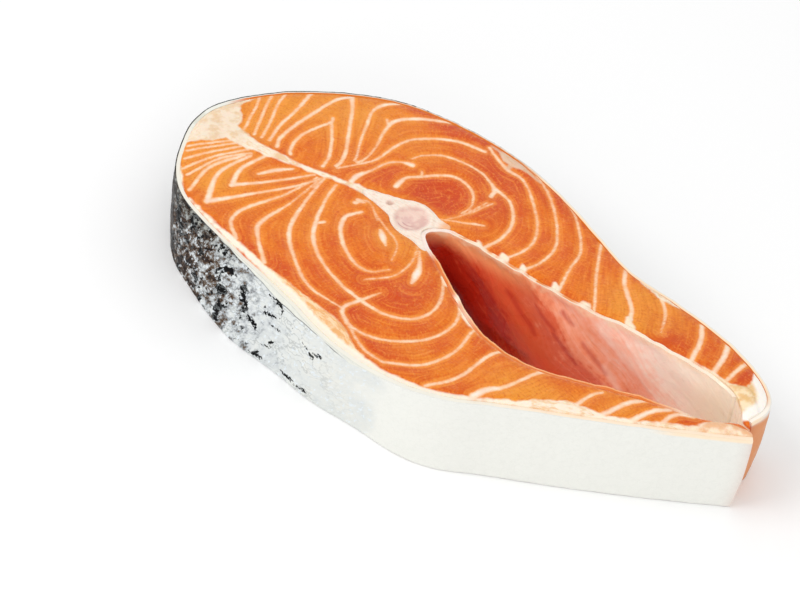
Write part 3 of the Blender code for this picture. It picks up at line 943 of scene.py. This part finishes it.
keep_field(skin, "tip", smooth_step(x, 99, 102) * smooth_step(y, -4.6, -3.4))
# where the gap between the two tips gets painted shade
keep_field(skin, "crease_shade", smooth_step(x, 99, 101) * bell(y, -3.6, 2.4))
keep_field(skin, "ribbon", np.where(y < NEAR_Y, ribbon, -9))
keep_field(skin, "mark", np.where(y < NEAR_Y, mark_gap, 9))
row = height / SCALE_LONG
shift = along / SCALE_WIDE + 0.5 * (np.floor(row) % 2)
side = 2 * (shift % 1) - 1
scale = (row + 0.35 * side ** 2) % 1
top_edge = smooth_step(height, 22.6, 24.4)
lift = SCALE_RISE * (scale - 0.5) * (1 - white) * (1 - top_edge)
lift += 0.12 * rough(rows, 5) + 0.05 * rough(rows, 1.6)
push_out(skin, lift * (1 - inward))
rows = places(skin)
rows[:, 2] += top_edge * (0.16 * rough(rows, 6, seed=3) + 0.08 * rough(rows, 1.8, seed=4))
put_places(skin, rows)
print("skin:", len(skin.data.vertices), "vertices")

# %% [markdown]
# The colour goes with how far round the fish a place is. The back is brown black with silver flecks,
# the side is silver white with black marks, and the belly is plain white. Noise, sheared so that it
# runs aslant like the rows of scales, picks a tone from a row of colours, and coarser noise adds the
# black marks. Fine grey lines are the wrinkles of the side, and the cells of a Voronoi pattern give
# the bump of single scales. The cut edge is pale, as it is mostly fat. The shine is kept low, because
# a steep wall would otherwise mirror the white floor and turn grey.

# %% Material "salmon skin"
skin_finish, tree, shader = new_material("salmon skin")
place = in_mm(tree)
plan_x, plan_y = axis(tree, place, 0), axis(tree, place, 1)
white, along, height, inward, ribbon, end, at_tip = (
    field(tree, name) for name in ("white", "along", "height", "inward", "ribbon", "end", "tip")
)
spot = plane(tree, along, height)
sheared = plane(tree, plus(tree, along, times(tree, height, 0.5)), height)
areas = centred(tree, grain(tree, stretched(tree, spot, 0.12, 0.1), 1.0, 2))
flecks = grain(tree, stretched(tree, sheared, 0.4, 0.3), 1.0, 5, 0.66)
tone = centred(tree, flecks, ramp(tree, white, 0.25, 0.7, 1.5, 0.5))
tone = plus(tree, tone, ramp_line(tree, white, 0.0, 0.75, 0.32, 0.78))
tone = plus(tree, tone, times(tree, areas, 0.3))
shade = tones(tree, tone, (
    (0.32, (20, 13, 12)), (0.42, (66, 48, 38)), (0.49, (110, 94, 78)), (0.54, (146, 150, 154)),
    (0.62, (204, 208, 209)), (0.72, (216, 219, 217)), (0.88, (225, 225, 219)),
))
marks = grain(tree, stretched(tree, sheared, 0.27, 0.2), 1.0, 4, 0.58)
marks = plus(tree, marks, times(tree, areas, 0.35))
marks = maths(tree, "SUBTRACT", marks, ramp(tree, white, 0.3, 0.95, 0.0, 0.22))
shade = mix(tree, ramp(tree, marks, 0.545, 0.575), shade, (9, 7, 8))
sparks = grain(tree, stretched(tree, sheared, 0.8, 0.5), 1.0, 3, 0.6)
sparks = times(tree, ramp(tree, sparks, 0.57, 0.64, 0, 0.8), ramp(tree, white, 0.02, 0.25))
shade = mix(tree, sparks, shade, (224, 231, 236))
olive = times(tree, ramp(tree, height, 17, 23.5, 0, 0.65), ramp(tree, white, 0.5, 0.2))
shade = mix(tree, olive, shade, (122, 116, 88), "MULTIPLY")

squiggle = close_to(tree, grain(tree, stretched(tree, sheared, 0.3, 0.4), 1.0, 2.5, 0.55), 0.5, 0.05)
wrinkles = times(tree, squiggle, ramp(tree, areas, -0.12, 0.04), ramp(tree, white, 1.0, 0.6, 0.0, 0.5))
shade = mix(tree, wrinkles, shade, (128, 133, 134))
ragged = plus(tree, field(tree, "mark"), centred(tree, grain(tree, spot, 0.8, 3), 2.6))
shade = mix(tree, ramp(tree, ragged, 0.15, -0.15), shade, (8, 8, 10))

ribbon_tone = mix(tree, grain(tree, spot, 2.2, 4, 0.6), (238, 238, 228), (206, 207, 198))
shade = mix(tree, ramp(tree, ribbon, 0.0, 0.2), shade, ribbon_tone)
shade = mix(tree, ramp(tree, white, 0.95, 1.0), shade, (231, 231, 225))
net = close_to(tree, grain(tree, spot, 3.2, 4, 0.6), 0.5, 0.035)
shade = mix(tree, times(tree, net, ramp(tree, white, 0.4, 0.8, 0.0, 0.08)), shade, (190, 194, 186))
seam = times(tree, close_to(tree, ribbon, 0.0, 0.28, 0.06, 0.75), ramp(tree, areas, -0.1, 0.04))
seam = times(tree, seam, ramp(tree, plan_x, 14, 4), ramp(tree, white, 0.15, 0.3))
shade = mix(tree, seam, shade, (84, 86, 88))

# the tips of the flaps and the pale lip at the far end, with painted shade on the far tip and in the gap
# between the tips
# painted shade: the far tip's white belly skin turns tan below its top, for the shade and warm bounced light
# there
shade = mix(tree, times(tree, at_tip, ramp(tree, height, 25, 22.5)), shade, (218, 150, 106))
# painted shade: dark red-orange in the gap between the two tips
shade = mix(tree, field(tree, "crease_shade"), shade, (196, 92, 44))
shade = mix(tree, times(tree, ramp(tree, height, 23.3, 24.1), end), shade, (248, 226, 198))

# the cut edge: pale, with the flesh's orange showing inside it on the far side
worn = grain(tree, stretched(tree, spot, 0.3, 0.3), 1.0, 4, 0.6)
far_side = ramp(tree, plan_y, 8, 16)
cut_tone = two_tone(tree, worn, 0.42, 0.62, (236, 236, 227), (222, 221, 208))
cut_tone = mix(tree, ramp(tree, white, 0.6, 0.95), cut_tone, (250, 230, 206))
near_band = times(tree, ramp(tree, ribbon, -3.0, -1.0), ramp(tree, plan_x, 50, 20))
cut_tone = mix(tree, near_band, cut_tone, (238, 234, 222))
cut_tone = mix(tree, at_tip, cut_tone, (250, 242, 230))
far_tone = two_tone(tree, worn, 0.4, 0.6, (206, 160, 130), (236, 208, 184))
cut_tone = mix(tree, times(tree, far_side, ramp(tree, white, 0.15, 0.4)), cut_tone, far_tone)
cut_tone = mix(tree, times(tree, far_side, ramp(tree, white, 0.8, 0.92)), cut_tone, (252, 226, 194))
fleshy = times(tree, ramp(tree, inward, 0.35, 0.55), ramp(tree, white, 0.92, 0.8))
fleshy = maths(tree, "MAXIMUM", fleshy, times(tree, ramp(tree, inward, 0.6, 0.75), ramp(tree, end, 0.5, 0.0)))
cut_tone = mix(tree, times(tree, far_side, fleshy), cut_tone, (222, 118, 36))
shade = mix(tree, ramp(tree, inward, 0.16, 0.3), shade, cut_tone)
tree.links.new(shade, shader["Base Color"])
set_up(shader, {"Specular IOR Level": 0.04})
scales = add(tree, "TexVoronoi", (stretched(tree, spot, 0.42, 0.42), None, 1.0), feature="DISTANCE_TO_EDGE")
moisten(tree, spot, 1.0, 0.42, 0.08, times(tree, scales, 1.5))
finish_piece(skin, skin_finish, "skin")

# %% [markdown]
# ## The lining of the belly
# A thin wet membrane covers the ribs. By the backbone it is dark red, where the kidney lay, and it
# turns from brick to pink to cream towards the flaps. The ribs under it run aslant and show as soft
# ridges. Veins, and pale painted highlights along the folds, are drawn as strokes on the wall. The
# upper edge is frayed, with a few nubs of fat.

# %% Lining
LINING_CELL = 0.6 * MM
LINING_FULL = LINING_THICKNESS + GAP - SEAM
RIB_SPACING, RIB_RISE = 12.0, 0.85
RIB_ALONG, RIB_UP = 0.55, 0.85
# strokes on the wall, as X and height
VEINS = (
    (.5, (30, 17.4), (32, 16.5, .8), (36, 13.5, .6), (39, 12.1, .9), (41, 10.2, .3)),
    (.3, (46, 13.6), (48, 12.5, .6), (51, 10.6, .8), (54, 8.2, .3)),
    (.3, (33, 24), (37, 21.6, .5), (39, 20.6, .2)),
    (.8, (46.4, 20.5), (47.6, 19.8, .5), (50, 18.6, .2)),
    (.2, (39, 18.5), (42, 16.5, .5), (46, 14.9, .2)),
    (.2, (22, 16), (26, 13, .6), (29, 11, .2)),
    (.2, (54, 15), (58, 12, .5), (62, 9, .2)),
)
# painted highlights: pale streaks along the folds, where the wet lining shines
PAINTED_HIGHLIGHTS = (
    (.2, (56.5, 22.4), (60, 19.5, .6), (64, 16.8, .5), (68, 14, .2)),
    (.2, (61, 10.8), (63, 9.3, .6), (66, 6.2, .3)),
    (.2, (70, 20), (75, 17, .5), (80, 14, .2)),
    (.2, (66, 21), (69, 19, .4), (73, 16, .2)),
)
# nubs on the far crest, and the curled edge on the near one, as X, reach and share
FAR_NUBS = (
    (18.6, 2, 1), (26.3, 1.8, 1), (32.4, 1.6, 1), (42.2, 2.2, 1), (51, 2, 1), (61, 3, 1), (66, 3.5, 1),
    (73, 2, 1), (80, 3, 1),
)
NEAR_NUBS = ((25.4, 1.2, 1), (30, 3.5, 0.5))
FAR_Y = 3


def row_of_bells(x, bells):
    return sum(share * bell(x, centre, reach) for centre, reach, share in bells)


inner_path = [point for point in shifted(belly_path, SEAM) if point.x < LINING_END_X]
lining = make_band("belly_lining_fine", inner_path, RIM_DROP, LINING_FULL, LINING_CELL)
rows = places(lining)
x, y = rows[:, 0], rows[:, 1]
height, inward = (read_field(lining, name) for name in ("height", "inward"))
aslant = x * RIB_ALONG + height * RIB_UP
keep_field(lining, "away", x - 1.3 * (CUT_THICKNESS / MM - height))
keep_field(lining, "near", smooth_step(-y - 0.02 * x, 1.5, 3.5))
keep_field(lining, "from_bone", x)
keep_field(lining, "across", aslant)
keep_field(lining, "down", x * RIB_UP - height * RIB_ALONG)
for name, strokes in (("vein", VEINS), ("painted_highlight", PAINTED_HIGHLIGHTS)):
    keep_field(lining, name, stroke_distance(rows[:, [0, 2, 1]], stroke_stops(strokes)[0])[0])
calm = smooth_step(height, 0.5, 3) * (1 - smooth_step(height, 22, 24.7))
folds = RIB_RISE * (np.sin(2 * np.pi * (aslant + 2 * rough(rows, 14)) / RIB_SPACING) * 0.5 - 0.5)
uneven = (folds * calm + 0.12 * rough(rows, 3)) * (1 - smooth_step(x, 80, 90))
thinned = LINING_FULL / MM * 0.9 * smooth_step(x, 84, 95)
push_out(lining, (uneven - thinned) * inward)
rows = places(lining)
x, y = rows[:, 0], rows[:, 1]
nubs = row_of_bells(x, FAR_NUBS) * (y > FAR_Y) + row_of_bells(x, NEAR_NUBS) * (y < NEAR_Y)
keep_field(lining, "nub", np.clip(nubs, 0, 1))
frayed = smooth_step(height, 22.8, 24.6)
rows[:, 2] += frayed * (0.3 * rough(rows, 4, seed=2) + 0.15 * rough(rows, 1.3, seed=5) + 0.35 * nubs)
put_places(lining, rows)
print("lining:", len(lining.data.vertices), "vertices")

# %% [markdown]
# The wall's colour goes with how far a place is from the backbone, along the wall and down it. Noise
# stretched along the ribs breaks it up, and the veins and the painted highlights are laid over it. The
# crest has tones of its own, because it is cut fat and flesh.

# %% Material "belly lining"
lining_finish, tree, shader = new_material("belly lining")
place = in_mm(tree)
height, inward, from_bone, down = (field(tree, name) for name in ("height", "inward", "from_bone", "down"))
bent = plus(tree, field(tree, "across"), times(tree, grain(tree, place, 16, 1), 5.0))
broad = grain(tree, plane(tree, times(tree, bent, 0.15), times(tree, down, 0.025)), 1.0, 1)
threads = grain(tree, plane(tree, times(tree, bent, 0.8), times(tree, down, 0.06)), 1.0, 3, 0.6)
clouds = grain(tree, place, 9, 3)
mottle = grain(tree, place, 1.8, 4, 0.6)
away = field(tree, "away")
for pattern, strength in ((clouds, 18.0), (broad, 24.0), (threads, 22.0), (mottle, 22.0)):
    away = plus(tree, away, centred(tree, pattern, strength))
shade = tones(tree, ramp_line(tree, away, -20, 100), (
    (0.083, (176, 34, 20)), (0.2, (206, 52, 28)), (0.26, (224, 92, 58)), (0.36, (224, 102, 62)),
    (0.43, (230, 114, 78)), (0.49, (248, 160, 122)), (0.56, (254, 182, 152)), (0.65, (255, 208, 188)),
    (0.73, (255, 232, 218)), (0.86, (255, 240, 224)),
))
shade = mix(tree, ramp(tree, field(tree, "vein"), 1.0, -0.3, 0, 0.55), shade, (184, 36, 34))
# painted highlights: the pale strokes along the folds stand in for the wet sheen
shade = mix(tree, ramp(tree, field(tree, "painted_highlight"), 1.3, -0.2, 0, 0.35), shade, (255, 236, 222))

# the upper wall by the backbone has its own orange-tan, here painted lighter: painted light that lifts the
# shade falling there
tan_and_light_by_bone = times(tree, ramp(tree, height, 18, 23.5, 0, 0.8), ramp(tree, from_bone, 46, 26))
shade = mix(tree, tan_and_light_by_bone, shade, (255, 180, 122))
# painted shade: the wall turns dark brown-red low down near the backbone, for the shade deep in the cavity
painted_foot_shade = ramp(tree, plus(tree, height, times(tree, mottle, 3.0)), 6.0, 4.2, 0, 0.35)
shade = mix(tree, times(tree, painted_foot_shade, ramp(tree, from_bone, 46, 38)), shade, (110, 36, 20))
top = plus(tree, height, times(tree, grain(tree, place, 2.5, 3), 6.0))
shade = mix(tree, ramp(tree, top, 25.6, 28.2, 0, 0.6), shade, (255, 222, 184))

far_crest = two_tone(tree, grain(tree, place, 5, 2), 0.5, 0.62, (236, 140, 56), (252, 214, 180))
far_crest = mix(tree, ramp(tree, from_bone, 46, 60), far_crest, (255, 234, 214))
far_crest = mix(tree, ramp(tree, inward, 0.6, 0.9), far_crest, (253, 228, 204))
near_crest = two_tone(tree, inward, 0.55, 0.75, (228, 118, 36), (244, 172, 112))
crest = mix(tree, field(tree, "near"), far_crest, near_crest)
crest = mix(tree, field(tree, "nub"), crest, (255, 232, 208))
crest = mix(tree, ramp(tree, from_bone, 14, 9), crest, (246, 228, 216))
shade = mix(tree, ramp(tree, height, 24.45, 24.7), shade, crest)
shade = mix(tree, ramp(tree, from_bone, 80, 94), shade, (255, 238, 216))
tree.links.new(shade, shader["Base Color"])
set_up(shader, {
    "Subsurface Weight": 0.12, "Subsurface Radius": (1.0, 0.3, 0.2), "Subsurface Scale": 0.8 * MM,
    "Specular IOR Level": 0.3, "Coat Weight": 0.2, "Coat Roughness": 0.12,
})
moisten(tree, place, 0.8, 0.32, 0.08, plus(tree, times(tree, broad, 6.0), times(tree, threads, 3.0)))
finish_piece(lining, lining_finish, "belly_lining")

# %% [markdown]
# ## The backbone
# The slice goes through one vertebra. Its round body has a white rim and a pinkish, glassy middle
# with faint rings. Towards the back stands the arch, with a shallow pit for the canal of the spinal
# cord, and towards the belly are two stubs where the ribs begin.

# %% Backbone
BONE_CELL = 0.3 * MM
BONE_LEVELS = 4
BODY_CENTRE, BODY_REACH = (0, 2.2), (5.6, 6.2)
CUP_REACH, CUP_DEPTH = 0.75, 0.5
CANAL_PLACE = (-7.6, 3.4)
bone = fine_slab("backbone_fine", BONE_CELL, BONE_LEVELS, bone_path, [belly_path])
rows = places(bone)
upper = on_upper_face(rows)
body = np.hypot((rows[:, 0] - BODY_CENTRE[0]) / BODY_REACH[0], (rows[:, 1] - BODY_CENTRE[1]) / BODY_REACH[1])
keep_field(bone, "body", body)
canal_gap = np.hypot(rows[:, 0] - CANAL_PLACE[0], rows[:, 1] - CANAL_PLACE[1])
keep_field(bone, "canal", canal_gap)
rise = -BONE_DROP / MM - CUP_DEPTH * np.sqrt(np.clip(1 - (body / CUP_REACH) ** 2, 0, 1))
rise += 0.2 * bell(body, 0.92, 0.12) + (0.1 * rough(rows, 1.5) + 0.06 * rough(rows, 0.7)) * (body > 0.8)
rise -= 0.5 * smooth_step(-canal_gap, -1.1, -0.4)
rows[:, 2] += rise * upper
taper(rows)
put_places(bone, rows)
print("bone:", len(bone.data.vertices), "vertices")

# %% [markdown]
# The glassy middle has faint broken rings, and the rest is white with fine threads. Light goes a little
# way into wet bone, and it has the clearest gloss of the four pieces.

# %% Material "backbone"
bone_finish, tree, shader = new_material("backbone")
place = in_mm(tree)
plan_x, plan_y = axis(tree, place, 0), axis(tree, place, 1)
body = plus(tree, field(tree, "body"), times(tree, grain(tree, place, 3, 2), 0.08))
glassy = two_tone(tree, grain(tree, place, 3, 3), 0.4, 0.6, (238, 206, 190), (224, 182, 170))
rings = ramp(tree, maths(tree, "SINE", times(tree, body, 30.0)), 0.2, 1.0)
broken = ramp(tree, grain(tree, place, 4, 2), 0.45, 0.6)
arcs = times(tree, rings, broken, ramp(tree, plan_y, 5.5, 3.5, 0.0, 0.6))
glassy = mix(tree, arcs, glassy, (190, 120, 122))
threads = grain(tree, stretched(tree, place, 0.5, 1.8), 1.0, 4, 0.6)
bone_white = two_tone(tree, threads, 0.45, 0.7, (248, 230, 214), (236, 208, 186))
shade = mix(tree, ramp(tree, body, 0.7, 0.95), glassy, bone_white)
shade = mix(tree, ramp(tree, field(tree, "canal"), 1.5, 0.3, 0, 0.65), shade, (196, 142, 124))
stub = times(tree, ramp(tree, plan_x, -14.5, -11.5, 0.0, 0.9), ramp(tree, plan_y, 5, 8))
shade = mix(tree, stub, shade, (242, 166, 104))
tree.links.new(shade, shader["Base Color"])
set_up(shader, {
    "Subsurface Weight": 0.3, "Subsurface Radius": (1.0, 0.6, 0.5), "Subsurface Scale": 1.2 * MM,
    "Coat Weight": 0.4, "Coat Roughness": 0.15,
})
moisten(tree, place, 1.2, 0.36, 0.06)
finish_piece(bone, bone_finish, "backbone")
